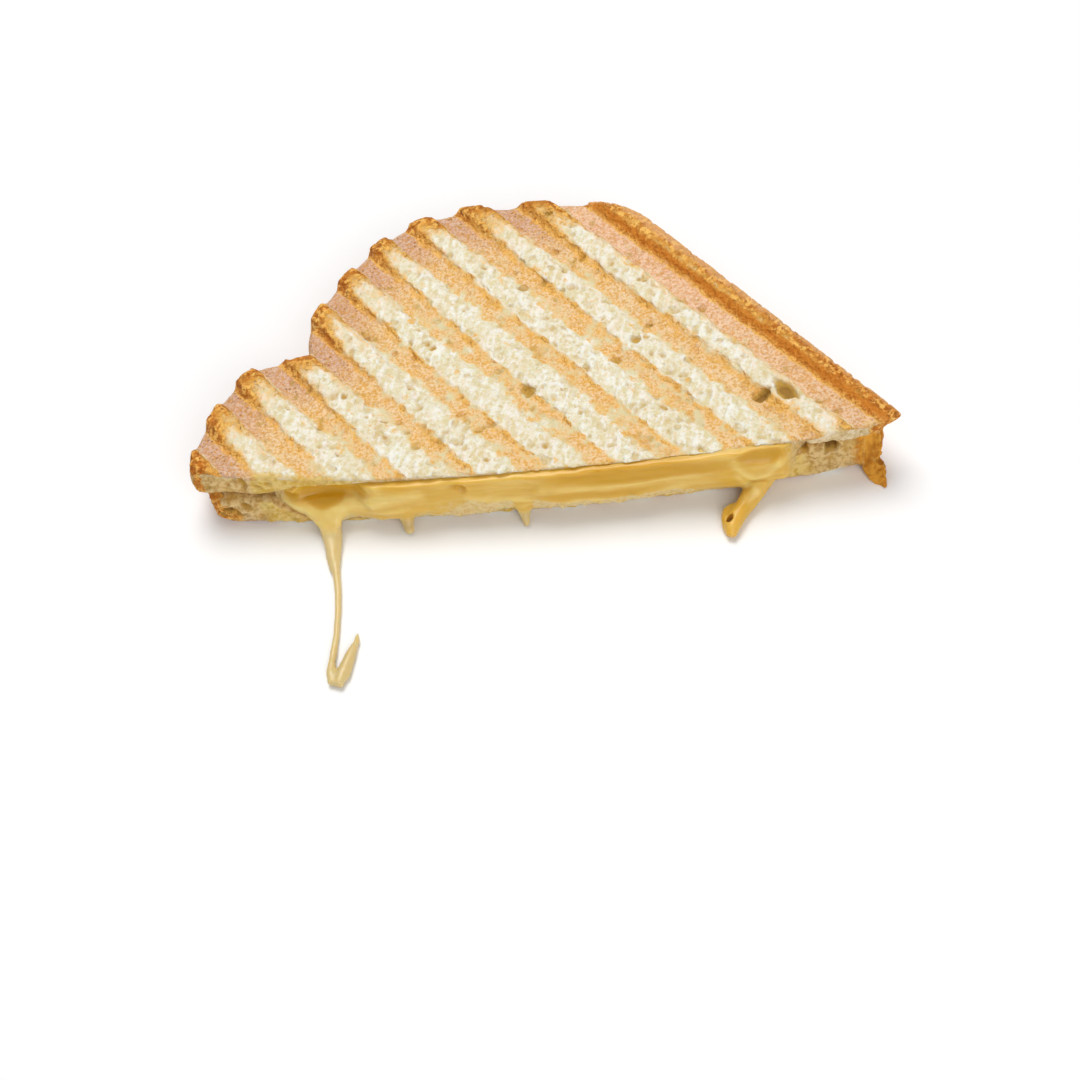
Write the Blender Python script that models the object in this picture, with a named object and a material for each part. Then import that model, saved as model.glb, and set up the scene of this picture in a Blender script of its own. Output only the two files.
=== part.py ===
"""Half of a grilled cheese sandwich, cut from corner to corner, lying flat.

Two slices of white tin loaf with melted cheese between them, pressed in a ribbed grill.
X runs along the cut, Y from the cut to the rounded corner of the loaf, Z up.
The origin is at the middle of the footprint, on the surface that the sandwich lies on.
"""

import math

import bmesh
import bpy
from mathutils import Matrix, Vector

MM = 0.001

# Driving dimensions
CUT_LENGTH = 169 * MM
CUT_BOW = 5.8 * MM
CUT_BOW_FULLNESS = 0.7
SEAM_MIDDLE = 11.4 * MM
SEAM_SLOPE = 0.024
GAP = 0.3 * MM

RIM_HEIGHT_RIGHT = 19.4 * MM
RIM_HEIGHT_LEFT = 19.2 * MM
SAG = 2.4 * MM
SAG_REACH = 38 * MM

CRUST_MARGIN = 1.3 * MM
CRUST_MARGIN_AT_CUT = 2.0 * MM
CRUST_ROUND_IN = 3 * MM
CRUST_ROUND_DOWN = 2.8 * MM
CRUST_BULGE = 0.7 * MM
CRUST_BULGE_LOW = 0.8
LEAST_WALL = 1.4 * MM
UNDERSIDE_ROUND_IN = 1.8 * MM
UNDERSIDE_ROUND_DOWN = 2 * MM
CUT_ROUND_IN = 1.0 * MM
CUT_ROUND_DOWN = 0.5 * MM
TIP_TUCK = 5 * MM
TIP_TUCK_REACH = 9 * MM

GRILL_ANGLE = math.radians(130.1)
RIB_PITCH = 12.8 * MM
FIRST_RIB = 3.4 * MM
RIB_COUNT = 10
RIB_WALL = 1.0 * MM
RIB_FLOOR_END = 5.2 * MM
RIB_RAMP_END = 6.6 * MM
RIB_SCALLOP = 0.3 * MM
GROOVE_DEPTH_RIM = 2.2 * MM
GROOVE_DEPTH_MIDDLE = 0.75 * MM
GROOVE_REACH = 44 * MM
GROOVE_SHARE_AT_CUT = 0.45
GROOVE_CUT_REACH = 12 * MM
UNDERSIDE_GROOVES = 0.55

LOWER_SLICE_SCALE = 0.955
LOWER_SLICE_SHIFT = -0.5 * MM
LOWER_SLICE_TURN = math.radians(1.2)

CHEESE_FIRST = 13 * MM
CHEESE_LAST = 117 * MM
CHEESE_INSET = 18 * MM
CHEESE_EDGE = 0.6 * MM
CHEESE_RISE = 2.5 * MM
CHEESE_SINK = 6.2 * MM
CHEESE_TAPER_START = 15.5 * MM
CHEESE_TAPER = 13 * MM
CHEESE_FRONT_REACH = 5 * MM
CHEESE_FRONT_RISE = 0.6 * MM
CHEESE_FRONT_SINK = 2.3 * MM
CHEESE_BULGE = 2.0 * MM
CHEESE_LEAST_BULGE = 0.4 * MM
CHEESE_LUMP = 7 * MM
CHEESE_SMALL_LUMP = 3.1 * MM

# Right-hand end of the cut, and the two directions of the grill marks in plan
RIGHT_TIP = Vector((CUT_LENGTH / 2, 0))
ALONG = Vector((math.cos(GRILL_ANGLE), math.sin(GRILL_ANGLE)))
ACROSS = Vector((-math.sin(GRILL_ANGLE), math.cos(GRILL_ANGLE)))
LEFT_TIP_ACROSS = -CUT_LENGTH * ACROSS.x
LEFT_TIP_ALONG = -CUT_LENGTH * ALONG.x

# Rim of the slice in mm: how far across the grill marks, how far along them
LOAF_SIDE = [(-4.4, 90), (-3.7, 95), (-1.8, 100.5), (4, 109), (10, 115.2), (17, 121.5), (25, 128.5),
             (36, 134.5), (49, 137), (62, 134.5), (75, 130), (82, 125.5), (87.4, 117.5)]
LOAF_CROWN = [(87.4, 117.5), (91, 121.5), (97, 125.2), (104, 125.3), (112, 122.6), (119, 119),
              (125, 115), (128, 111.5), (129.3, 109.4)]
NOTCH = LOAF_CROWN[0][0] * MM
CRUST_CORNER = LOAF_SIDE[0][0] * MM
LAST_COLUMN = LOAF_CROWN[-1][0] * MM


def smooth(value):
    """Ease from 0 to 1."""
    value = min(max(value, 0), 1)
    return value * value * (3 - 2 * value)


def through(stations, across):
    """A smooth curve through the stations, read at one distance across the marks."""
    across = across / MM
    last = len(stations) - 1
    index = 0
    while index < last - 1 and across > stations[index + 1][0]:
        index += 1
    (x0, y0), (x1, y1) = stations[index], stations[index + 1]
    before = stations[max(index - 1, 0)]
    after = stations[min(index + 2, last)]
    slope0 = (y1 - before[1]) / (x1 - before[0])
    slope1 = (after[1] - y0) / (after[0] - x0)
    width = x1 - x0
    t = min(max((across - x0) / width, 0), 1)
    start = (1 + 2 * t) * (1 - t) ** 2 * y0 + t * (1 - t) ** 2 * width * slope0
    end = t * t * (3 - 2 * t) * y1 - t * t * (1 - t) * width * slope1
    return (start + end) * MM


def groove_share(across):
    """0 on a raised band, 1 on the floor that a rib of the grill pressed in."""
    step = (across - FIRST_RIB + RIB_WALL) % RIB_PITCH - RIB_WALL
    if across < FIRST_RIB - RIB_WALL:
        return 0
    if step < 0:
        return smooth(1 + step / RIB_WALL)
    if step < RIB_FLOOR_END:
        return 1
    return 1 - smooth((step - RIB_FLOOR_END) / (RIB_RAMP_END - RIB_FLOOR_END))


def cut_reach(across):
    """Where the cut starts along the marks. The cut bows outwards between its ends."""
    t = min(max(across / LEFT_TIP_ACROSS, 0), 1)
    bow = CUT_BOW * (4 * t * (1 - t)) ** CUT_BOW_FULLNESS
    return LEFT_TIP_ALONG * t - bow / ALONG.y


def rim_reach(across):
    """Where the crust ends along the marks. It steps in a little in each groove."""
    stations = LOAF_SIDE if across < NOTCH else LOAF_CROWN
    return through(stations, across) + CRUST_MARGIN - RIB_SCALLOP * groove_share(across)


def plan(across, along):
    return RIGHT_TIP + ACROSS * across + ALONG * along


def seam(spot):
    """Height at which the two crusts meet, which rises towards the right-hand end of the cut."""
    return SEAM_MIDDLE + SEAM_SLOPE * spot.x


def rim_line():
    """The crust seen from above, from the right-hand end of the cut round to the left."""
    near = plan(-CRUST_MARGIN_AT_CUT, 0)
    line = [near.lerp(plan(CRUST_CORNER, rim_reach(CRUST_CORNER)), i / 12) for i in range(12)]
    count = 120
    for i in range(count + 1):
        across = CRUST_CORNER + (LAST_COLUMN - CRUST_CORNER) * i / count
        line.append(plan(across, rim_reach(across)))
    line.append(plan(LAST_COLUMN, cut_reach(LAST_COLUMN)))
    return line


def cut_line():
    count = 60
    return [plan(LAST_COLUMN * i / count, cut_reach(LAST_COLUMN * i / count)) for i in range(count + 1)]


def gap_to(line, spot):
    """Shortest way in plan from a spot to a line."""
    best = 1.0
    for start, end in zip(line, line[1:]):
        side = end - start
        t = min(max((spot - start).dot(side) / side.length_squared, 0), 1)
        best = min(best, (spot - start - side * t).length)
    return best


RIM = rim_line()
CUT = cut_line()


def round_off(distance, inward, down):
    """How far a rounded edge has dropped at a distance from the rim."""
    if distance >= inward:
        return 0
    return down * (1 - math.sqrt(1 - (1 - distance / inward) ** 2))


def groove_depth(spot, across):
    from_rim = gap_to(RIM, spot)
    depth = GROOVE_DEPTH_MIDDLE
    depth += (GROOVE_DEPTH_RIM - GROOVE_DEPTH_MIDDLE) * (1 - smooth(from_rim / GROOVE_REACH))
    depth *= GROOVE_SHARE_AT_CUT + (1 - GROOVE_SHARE_AT_CUT) * smooth(gap_to(CUT, spot) / GROOVE_CUT_REACH)
    return depth * groove_share(across)


def top_face(spot, across):
    """Height of the sandwich's grilled top."""
    from_rim = gap_to(RIM, spot)
    rim_height = RIM_HEIGHT_RIGHT + (RIM_HEIGHT_LEFT - RIM_HEIGHT_RIGHT) * across / LEFT_TIP_ACROSS
    height = rim_height - SAG * smooth(from_rim / SAG_REACH) - groove_depth(spot, across)
    height -= round_off(from_rim, CRUST_ROUND_IN, CRUST_ROUND_DOWN)
    height -= round_off(gap_to(CUT, spot), CUT_ROUND_IN, CUT_ROUND_DOWN)
    return max(height, seam(spot) + LEAST_WALL)


def bottom_face(spot, across):
    """Height of the grilled underside. Its bands lie on the surface."""
    height = UNDERSIDE_GROOVES * groove_depth(spot, across)
    height += round_off(gap_to(RIM, spot), UNDERSIDE_ROUND_IN, UNDERSIDE_ROUND_DOWN)
    height += round_off(gap_to(CUT, spot), CUT_ROUND_IN, CUT_ROUND_DOWN)
    return min(height, seam(spot) - LEAST_WALL)


def slice_columns():
    """Where the lines of faces run, as the distance across at the cut and at the rim."""
    columns = []
    strip_top = FIRST_RIB - RIB_WALL
    for share in (0, 0.1, 0.25, 0.5, 0.8):
        near = -CRUST_MARGIN_AT_CUT + (strip_top + CRUST_MARGIN_AT_CUT) * share
        columns.append((near, CRUST_CORNER + (strip_top - CRUST_CORNER) * share))
    steps = (-RIB_WALL, 0, 0.5 * RIB_FLOOR_END, RIB_FLOOR_END, RIB_RAMP_END, 0.74 * RIB_PITCH)
    for rib in range(RIB_COUNT):
        for step in steps:
            across = FIRST_RIB + rib * RIB_PITCH + step
            if across < LAST_COLUMN - 1 * MM:
                columns.append((across, across))
    columns.append((LAST_COLUMN, LAST_COLUMN))
    return columns


def slice_rows(length):
    """Distances from the cut, close together where the edges are rounded."""
    full_length = 24 * MM
    scale = MM * min(1, length / full_length)
    near = [0, 0.4, 1.2, 4]
    far = [7, 4.4, 2.6, 1.2, 0.35, 0]
    start = near[-1] * scale
    end = length - far[0] * scale
    steps = 7
    middle = [start + (end - start) * i / steps for i in range(1, steps)]
    return [d * scale for d in near] + middle + [length - d * scale for d in far]


def box_grid(columns, rows, layers):
    """A closed box of faces, each point numbered by its column, its row and its height from 0 to 1."""
    bm = bmesh.new()
    bmesh.ops.create_grid(bm, x_segments=columns, y_segments=rows, size=0.5)
    sheet = bm.verts[:] + bm.edges[:] + bm.faces[:]
    raised = bmesh.ops.extrude_face_region(bm, geom=sheet, use_keep_orig=True)
    lifted = [v for v in raised["geom"] if isinstance(v, bmesh.types.BMVert)]
    bmesh.ops.translate(bm, verts=lifted, vec=(0, 0, 1))
    uprights = [e for e in bm.edges if abs(e.verts[0].co.z - e.verts[1].co.z) > 0.5]
    bmesh.ops.subdivide_edges(bm, edges=uprights, cuts=layers - 1, use_grid_fill=True)
    places = {}
    for vert in bm.verts:
        column = round((vert.co.x + 0.5) * columns)
        row = round((vert.co.y + 0.5) * rows)
        places[vert] = (column, row, vert.co.z)
    return bm, places


def finish(bm, name, finish_material):
    """Triangles with their faces out, in an object of their own."""
    bmesh.ops.remove_doubles(bm, verts=bm.verts[:], dist=0.00001)
    bmesh.ops.recalc_face_normals(bm, faces=bm.faces[:])
    bmesh.ops.triangulate(bm, faces=bm.faces[:])
    mesh = bpy.data.meshes.new(name)
    bm.to_mesh(mesh)
    bm.free()
    mesh.materials.append(finish_material)
    item = bpy.data.objects.new(name, mesh)
    bpy.context.scene.collection.objects.link(item)
    return item


def material(name, colour, roughness):
    made = bpy.data.materials.new(name)
    made.use_nodes = True
    shader = made.node_tree.nodes["Principled BSDF"]
    shader.inputs["Base Color"].default_value = (*colour, 1)
    shader.inputs["Roughness"].default_value = roughness
    shader.inputs["Metallic"].default_value = 0
    return made


def tuck_tip(spot, share):
    """The upper slice thins out at the right-hand end of the cut, so its inner face stops short."""
    tuck = TIP_TUCK * math.exp(-(spot - RIGHT_TIP).length / TIP_TUCK_REACH)
    return spot - Vector((tuck * (1 - share), 0))


def set_lower(spot, share):
    """The lower slice is a little smaller and lies a little askew under the upper one."""
    spot = Vector((0, -CUT_BOW)) + (spot + Vector((0, CUT_BOW))) * LOWER_SLICE_SCALE
    turn = Matrix.Rotation(LOWER_SLICE_TURN, 2)
    return turn @ spot + Vector((LOWER_SLICE_SHIFT, 0))


def bread_slice(name, outer_face, from_seam, settle, toast):
    """One slice: a grilled outer face, a rounded crust, a flat inner face."""
    columns = slice_columns()
    row_count = len(slice_rows(1))
    layers = 4
    bm, places = box_grid(len(columns) - 1, row_count - 1, layers)
    for vert, (column, row, share) in places.items():
        near_across, far_across = columns[column]
        near = plan(near_across, cut_reach(near_across))
        far = plan(far_across, rim_reach(far_across))
        length = (far - near).length
        distance = slice_rows(length)[row]
        spot = near.lerp(far, distance / length)
        across = near_across + (far_across - near_across) * distance / length
        outer = outer_face(spot, across)
        on_crust = column == 0 or column == len(columns) - 1 or row == row_count - 1
        if on_crust and row > 0:
            outwards = (spot - Vector((0, CUT_LENGTH / 6))).normalized()
            spot = spot + outwards * CRUST_BULGE * math.sin(math.pi * (1 - share) * CRUST_BULGE_LOW)
        spot = settle(spot, share)
        inner = seam(spot) + from_seam
        vert.co = (spot.x, spot.y, inner + (outer - inner) * share)
    inside = [f for f in bm.faces if all(places[v][2] < 0.01 for v in f.verts)]
    bmesh.ops.dissolve_faces(bm, faces=inside, use_verts=True)
    return finish(bm, name, toast)


def cheese_height(spot):
    """How high the cheese stands above the seam, and how deep it lies below."""
    full = smooth((gap_to(RIM, spot) - CHEESE_TAPER_START) / CHEESE_TAPER)
    front = math.exp(-gap_to(CUT, spot) / CHEESE_FRONT_REACH)
    rise = CHEESE_EDGE + (CHEESE_RISE - CHEESE_EDGE + CHEESE_FRONT_RISE * front) * full
    sink = CHEESE_EDGE + (CHEESE_SINK - CHEESE_EDGE + CHEESE_FRONT_SINK * front) * full
    return rise, sink, full


def cheese_body(name, grow, cheese):
    """The melted filling, which swells out of the cut. Grown by a gap, it is also the cutter."""
    column_count = 30
    rows = [0, 0.02, 0.06, 0.14, 0.3, 0.5, 0.75, 1]
    layers = 5
    bm, places = box_grid(column_count, len(rows) - 1, layers)
    for vert, (column, row, share) in places.items():
        across = CHEESE_FIRST + (CHEESE_LAST - CHEESE_FIRST) * column / column_count
        near = cut_reach(across)
        far = through(LOAF_SIDE if across < NOTCH else LOAF_CROWN, across) - CHEESE_INSET
        if column == 0:
            across -= grow
        if column == column_count:
            across += grow
        far += grow
        along = near + (far - near) * rows[row]
        spot = plan(across, along)
        rise, sink, full = cheese_height(spot)
        height = seam(spot) - sink - grow + (rise + sink + 2 * grow) * share
        if row == 0:
            lump = 1 + 0.25 * math.sin(spot.x / CHEESE_LUMP) + 0.15 * math.sin(spot.x / CHEESE_SMALL_LUMP + 1)
            swell = CHEESE_BULGE * full * lump * math.sin(math.pi * (0.15 + 0.85 * share))
            spot = spot - Vector((0, CHEESE_LEAST_BULGE + swell + grow))
        vert.co = (spot.x, spot.y, height)
    return finish(bm, name, cheese)


def strand(name, route, grow, finish_material):
    """A string along a route of (x, y, z, radius) in mm, closed at both ends."""
    curve = bpy.data.curves.new(name, "CURVE")
    curve.dimensions = "3D"
    curve.bevel_depth = 1
    curve.bevel_resolution = 2
    curve.use_fill_caps = True
    spline = curve.splines.new("POLY")
    spline.points.add(len(route) - 1)
    for point, (x, y, z, radius) in zip(spline.points, route):
        point.co = (x * MM, y * MM, z * MM, 1)
        point.radius = radius * MM + grow
    tube = bpy.data.objects.new(name, curve)
    bpy.context.scene.collection.objects.link(tube)
    bpy.context.view_layer.update()
    mesh = bpy.data.meshes.new_from_object(tube.evaluated_get(bpy.context.evaluated_depsgraph_get()))
    bpy.data.objects.remove(tube)
    bm = bmesh.new()
    bm.from_mesh(mesh)
    bpy.data.meshes.remove(mesh)
    return finish(bm, name, finish_material)


def combine(item, other, operation):
    """Add another solid to an item, or cut it away, and remove the other."""
    step = item.modifiers.new(operation.lower(), "BOOLEAN")
    step.operation = operation
    step.solver = "EXACT"
    step.object = other
    bpy.context.view_layer.update()
    graph = bpy.context.evaluated_depsgraph_get()
    mesh = bpy.data.meshes.new_from_object(item.evaluated_get(graph))
    item.modifiers.clear()
    item.data = mesh
    bpy.data.objects.remove(other)


def melted_cheese(name, grow, cheese):
    """The filling with the strings and drips that ran out of it."""
    filling = cheese_body(name, grow, cheese)
    for route in (LONG_STRING, STRING_TAIL, RIGHT_DRIP):
        combine(filling, strand("drip", route, grow, cheese), "UNION")
    return filling


def stand_at_origin(items):
    """Move everything so that the footprint's middle is at the origin."""
    corners = [v.co for item in items for v in item.data.vertices]
    shift = [-(min(c[i] for c in corners) + max(c[i] for c in corners)) / 2 for i in range(2)]
    lowest = min(c.z for c in corners)
    for item in items:
        for vert in item.data.vertices:
            vert.co += Vector((shift[0], shift[1], -lowest))


# Strings and drips of cheese that ran out of the cut, and the torn crust at its right-hand end,
# as (x, y, z, radius) in mm
LONG_STRING = [(-54, -2, 7, 3.6), (-53.6, -6, 5.2, 3.4), (-53.2, -8.8, 3.2, 2.6), (-53, -11.8, 1.9, 1.85),
               (-52.4, -15.2, 1.4, 1.4), (-51.4, -19.5, 1.1, 1.1), (-50.5, -25.3, 0.95, 0.93),
               (-50, -32, 0.9, 0.88), (-50, -39, 0.9, 0.88), (-50.5, -44.5, 1, 0.98), (-50.7, -48, 1.2, 1.18),
               (-49.9, -51.6, 1.2, 1.15)]
STRING_TAIL = [(-48.6, -52.2, 1.25, 1.2), (-47.6, -48.5, 1.4, 1.35), (-46.2, -44, 1.25, 1.2),
               (-45, -40.3, 0.9, 0.85), (-45.1, -37.6, 0.5, 0.4)]
RIGHT_DRIP = [(54, -1.6, 6, 3.2), (52, -5.2, 4.6, 3.1), (49.6, -8, 3, 2.8), (47.4, -10.8, 2.3, 2.25),
              (45.4, -13.8, 2.2, 2.15), (44.2, -16.6, 1.9, 1.85), (43.9, -18.4, 1.3, 1.2)]
CRUST_FLAP = [(78, 3.5, 1.9, 1.85), (79.8, -0.6, 1.7, 1.65), (80.6, -3.8, 1.3, 1.25), (81, -7, 0.6, 0.5)]
CRUST_SHRED = [(76.5, 3, 1.6, 1.55), (77.6, -0.8, 1.3, 1.25), (78.4, -4.2, 1.1, 1)]


def build():
    for item in list(bpy.data.objects):
        bpy.data.objects.remove(item)
    toast = material("toasted_bread", (0.80, 0.62, 0.36), 0.85)
    cheese = material("melted_cheese", (0.84, 0.60, 0.18), 0.35)

    top = bread_slice("bread_top", top_face, GAP / 2, tuck_tip, toast)
    bottom = bread_slice("bread_bottom", bottom_face, -GAP / 2, set_lower, toast)
    filling = melted_cheese("cheese", 0, cheese)
    for route in (CRUST_FLAP, CRUST_SHRED):
        combine(bottom, strand("shred", route, 0, toast), "UNION")
    for slice_of_bread in (top, bottom):
        combine(slice_of_bread, melted_cheese("cheese_room", GAP, cheese), "DIFFERENCE")
    stand_at_origin((top, bottom, filling))


build()
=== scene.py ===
"""Half of a grilled cheese sandwich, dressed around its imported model.

Everything is in metres. X runs along the cut, Y from the cut to the loaf's rounded corner, Z up.
"""
import math

import bmesh
import bpy
import numpy as np
from mathutils import Matrix, Vector, kdtree, noise


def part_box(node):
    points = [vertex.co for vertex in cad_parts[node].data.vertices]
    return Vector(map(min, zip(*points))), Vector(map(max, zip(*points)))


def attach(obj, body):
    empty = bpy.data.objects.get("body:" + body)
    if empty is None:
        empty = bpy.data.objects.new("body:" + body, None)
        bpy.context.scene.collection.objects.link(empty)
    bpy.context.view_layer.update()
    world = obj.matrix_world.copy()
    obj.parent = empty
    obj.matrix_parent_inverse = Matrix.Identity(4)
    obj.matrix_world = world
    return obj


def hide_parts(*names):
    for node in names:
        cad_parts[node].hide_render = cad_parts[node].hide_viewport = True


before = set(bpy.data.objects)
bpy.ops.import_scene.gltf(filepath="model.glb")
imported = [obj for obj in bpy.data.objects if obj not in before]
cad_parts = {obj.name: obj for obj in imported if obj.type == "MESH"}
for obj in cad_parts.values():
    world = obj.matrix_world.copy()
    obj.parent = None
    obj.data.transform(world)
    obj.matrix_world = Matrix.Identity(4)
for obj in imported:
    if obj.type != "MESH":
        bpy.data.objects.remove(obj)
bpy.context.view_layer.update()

# The upper slice is white tin loaf, pressed in a hot ribbed grill. The ribs have sunk browned
# floors into its face and left pale open crumb standing in bands between them. It rests on the
# cheese, and its crust is baked brown all round.
MM = 0.001
GRILL_ANGLE = math.radians(130.1)
RIB_PITCH = 12.8 * MM
FIRST_RIB = 3.4 * MM
RIB_WALL = 1.0 * MM
FLOOR_END = 5.2 * MM
RAMP_END = 6.6 * MM
UPPER_SKIN = 0.45 * MM
CUT_EDGE = 2 * MM
WOBBLE_SIZE = 1.6 * MM
PEBBLE_SIZE = 1.7 * MM
# The way that its grilled face looks, 1 for up, and the heights between which its rim is found
UPPER_SIDE = (1, 12.2 * MM, 16.2 * MM)

# The right-hand end of the cut, from the upper slice's box
top_low, top_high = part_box("bread_top")
CUT_END = Vector((top_high.x - 1.53 * MM, top_low.y + 5.8 * MM))
HALF_CUT = 84.5 * MM
CUT_MIDDLE = CUT_END - Vector((HALF_CUT, 0))
ALONG = np.array((math.cos(GRILL_ANGLE), math.sin(GRILL_ANGLE)))
ACROSS = np.array((-math.sin(GRILL_ANGLE), math.cos(GRILL_ANGLE)))


def link(name, mesh):
    piece = bpy.data.objects.new(name, mesh)
    bpy.context.scene.collection.objects.link(piece)
    return piece


def merged_copy(node, name):
    """A new piece with a node's shape, its loose triangles joined up."""
    bm = bmesh.new()
    bm.from_mesh(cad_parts[node].data)
    bmesh.ops.remove_doubles(bm, verts=bm.verts[:], dist=0.01 * MM)
    mesh = bpy.data.meshes.new(name)
    bm.to_mesh(mesh)
    bm.free()
    return link(name, mesh)


def apply_modifiers(piece):
    bpy.context.view_layer.update()
    graph = bpy.context.evaluated_depsgraph_get()
    rough = piece.data
    piece.data = bpy.data.meshes.new_from_object(piece.evaluated_get(graph))
    piece.modifiers.clear()
    bpy.data.meshes.remove(rough)


def fine_skin(piece, step):
    """Even small faces all over, ready to be shaped."""
    skin = piece.modifiers.new("skin", "REMESH")
    skin.mode = "VOXEL"
    skin.voxel_size = step
    skin.use_smooth_shade = True
    apply_modifiers(piece)


def thin_out(piece, hidden, keep):
    """Fewer faces where nothing shows."""
    group = piece.vertex_groups.new(name="hidden")
    group.add([int(i) for i in np.nonzero(hidden)[0]], 1.0, "REPLACE")
    fewer = piece.modifiers.new("fewer", "DECIMATE")
    fewer.vertex_group = "hidden"
    fewer.ratio = 1 - (1 - keep) * hidden.mean()
    apply_modifiers(piece)
    piece.vertex_groups.clear()


def soften(piece, rounds, chosen=None):
    """Smooth all points of a piece, or only the chosen ones."""
    bm = bmesh.new()
    bm.from_mesh(piece.data)
    verts = bm.verts[:] if chosen is None else [vert for vert, wanted in zip(bm.verts, chosen) if wanted]
    for _ in range(rounds):
        bmesh.ops.smooth_vert(bm, verts=verts, factor=0.5,
                              use_axis_x=True, use_axis_y=True, use_axis_z=True)
    bm.to_mesh(piece.data)
    bm.free()


def points_of(piece):
    flat = np.empty(len(piece.data.vertices) * 3, np.float32)
    piece.data.vertices.foreach_get("co", flat)
    return flat.reshape(-1, 3).astype(float)


def normals_of(piece):
    flat = np.empty(len(piece.data.vertices) * 3, np.float32)
    piece.data.vertex_normals.foreach_get("vector", flat)
    return flat.reshape(-1, 3).astype(float)


def move_to(piece, points):
    piece.data.vertices.foreach_set("co", points.astype(np.float32).ravel())
    piece.data.update()


def note(piece, name, values):
    """Keep a share from 0 to 1 at each point, for the material to read."""
    kept = piece.data.attributes.new(name, "FLOAT", "POINT")
    kept.data.foreach_set("value", np.clip(values, 0, 1).astype(np.float32))


def ease(values, low, high):
    """0 below low, 1 above high and smooth between them."""
    t = np.clip((values - low) / (high - low), 0, 1)
    return t * t * (3 - 2 * t)


def lumps(points, size, seed, octaves=1):
    """Smooth noise from about -1 to 1 with lumps of one size, and finer ones on them."""
    start = Vector((seed, 2.3 * seed, -1.7 * seed))
    if octaves == 1:
        return np.array([noise.noise(Vector(p) + start) for p in points / size])
    return np.array([noise.fractal(Vector(p) + start, 0.6, 2.1, octaves) for p in points / size])


def bubbles(points, size, seed):
    """How near each point is to the middle of a bubble, from 0 to 1, and that bubble's own share."""
    start = Vector((seed, 2.3 * seed, -1.7 * seed))
    near = np.empty(len(points))
    share = np.empty(len(points))
    for i, p in enumerate(points / size):
        distances, middles = noise.voronoi(Vector(p) + start)
        near[i] = distances[0]
        share[i] = noise.cell(middles[0] * 37.7)
    return np.clip(1 - near / 0.75, 0, 1), share % 1.0


def in_marks(points):
    """Points with their first place across the grill marks and their second along them."""
    plan = points[:, :2] - np.array(CUT_END)
    return np.column_stack((plan @ ACROSS, plan @ ALONG, points[:, 2]))


def plan_gap(points, edge):
    """Shortest way in plan from each point to the points of an edge."""
    tree = kdtree.KDTree(len(edge))
    for i, p in enumerate(edge):
        tree.insert((p[0], p[1], 0), i)
    tree.balance()
    return np.array([tree.find((p[0], p[1], 0))[2] for p in points])


def rib_step(across):
    """How far past the wall of its grill mark a point is."""
    return (across - FIRST_RIB + RIB_WALL) % RIB_PITCH - RIB_WALL


def pressed_share(across):
    """1 on the floors that the ribs pressed in, 0 on the raised bands."""
    step = rib_step(across)
    share = np.where(step < 0, ease(step, -RIB_WALL, 0), 1 - ease(step, FLOOR_END, RAMP_END))
    return np.where(across < FIRST_RIB - RIB_WALL, 0, share)


def outermost(points, middle):
    """The points that lie furthest out in their direction from the middle."""
    plan = points[:, :2] - middle
    reach = np.hypot(plan[:, 0], plan[:, 1])
    bins = ((np.arctan2(plan[:, 1], plan[:, 0]) / math.tau + 0.5) * 720).astype(int)
    furthest = np.zeros(721)
    np.maximum.at(furthest, bins, reach)
    return points[reach > furthest[bins] - 3 * MM]


class Slice:
    """What is known of each point of a slice: where it is in the marks and on which side."""

    def __init__(self, piece, outer, low, high):
        self.points = points_of(piece)
        self.normals = normals_of(piece)
        self.marks = in_marks(self.points)
        self.along_cut = self.points[:, 0] - CUT_MIDDLE.x
        upright = np.abs(self.normals[:, 2]) < 0.6
        level = (self.points[:, 2] > low) & (self.points[:, 2] < high)
        at_cut = self.normals[:, 1] < -0.75
        plan = self.points[:, :2] - self.points[:, :2].mean(axis=0)
        outward = (plan * self.normals[:, :2]).sum(axis=1) > 0.25 * np.hypot(plan[:, 0], plan[:, 1])
        rim = outermost(self.points[upright & level & outward & ~at_cut], self.points[:, :2].mean(axis=0))
        self.from_rim = plan_gap(self.points, rim)
        self.from_cut = plan_gap(self.points, self.points[upright & at_cut])
        self.face = ease(self.normals[:, 2] * outer, 0.1, 0.45)
        near_cut = ease(-self.from_cut, -3 * MM, -1.2 * MM)
        self.cut_side = ease(-self.normals[:, 1], 0.45, 0.8) * (1 - self.face) * near_cut
        near_rim = ease(-self.from_rim, -4 * MM, -1.5 * MM)
        self.crust_side = (1 - self.face) * (1 - self.cut_side) * near_rim
        self.torn = (1 - self.face) * (1 - self.crust_side)
        self.front = np.column_stack((self.along_cut, self.points[:, 2]))
        self.at_front = near_cut * (1 - self.face)


# The strands of crumb lean this way in plan
STRAND_LEAN = math.radians(76)


def fluffy(points, seed):
    """Soft lumps of crumb, a little longer the way that its strands lean."""
    lean = np.array((math.cos(STRAND_LEAN), math.sin(STRAND_LEAN), 0))
    drawn = points - 0.62 * (points @ lean)[:, None] * lean
    return lumps(drawn, 2.3 * MM, seed, 2)


def pores_of(points, seed):
    """Depth in mm of scattered round pores of two sizes."""
    wander = np.column_stack([lumps(points, 2.4 * MM, seed + k) for k in range(3)]) * 0.8 * MM
    wide, own_wide = bubbles(points + wander, 3.0 * MM, seed + 4)
    small, own_small = bubbles(points + wander, 1.5 * MM, seed + 5)
    depth = 0.7 * ease(own_wide, 0.62, 0.88) * ease(wide, 0.05, 0.9)
    return depth + 0.5 * ease(own_small, 0.4, 0.8) * ease(small, 0.1, 0.85)


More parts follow.
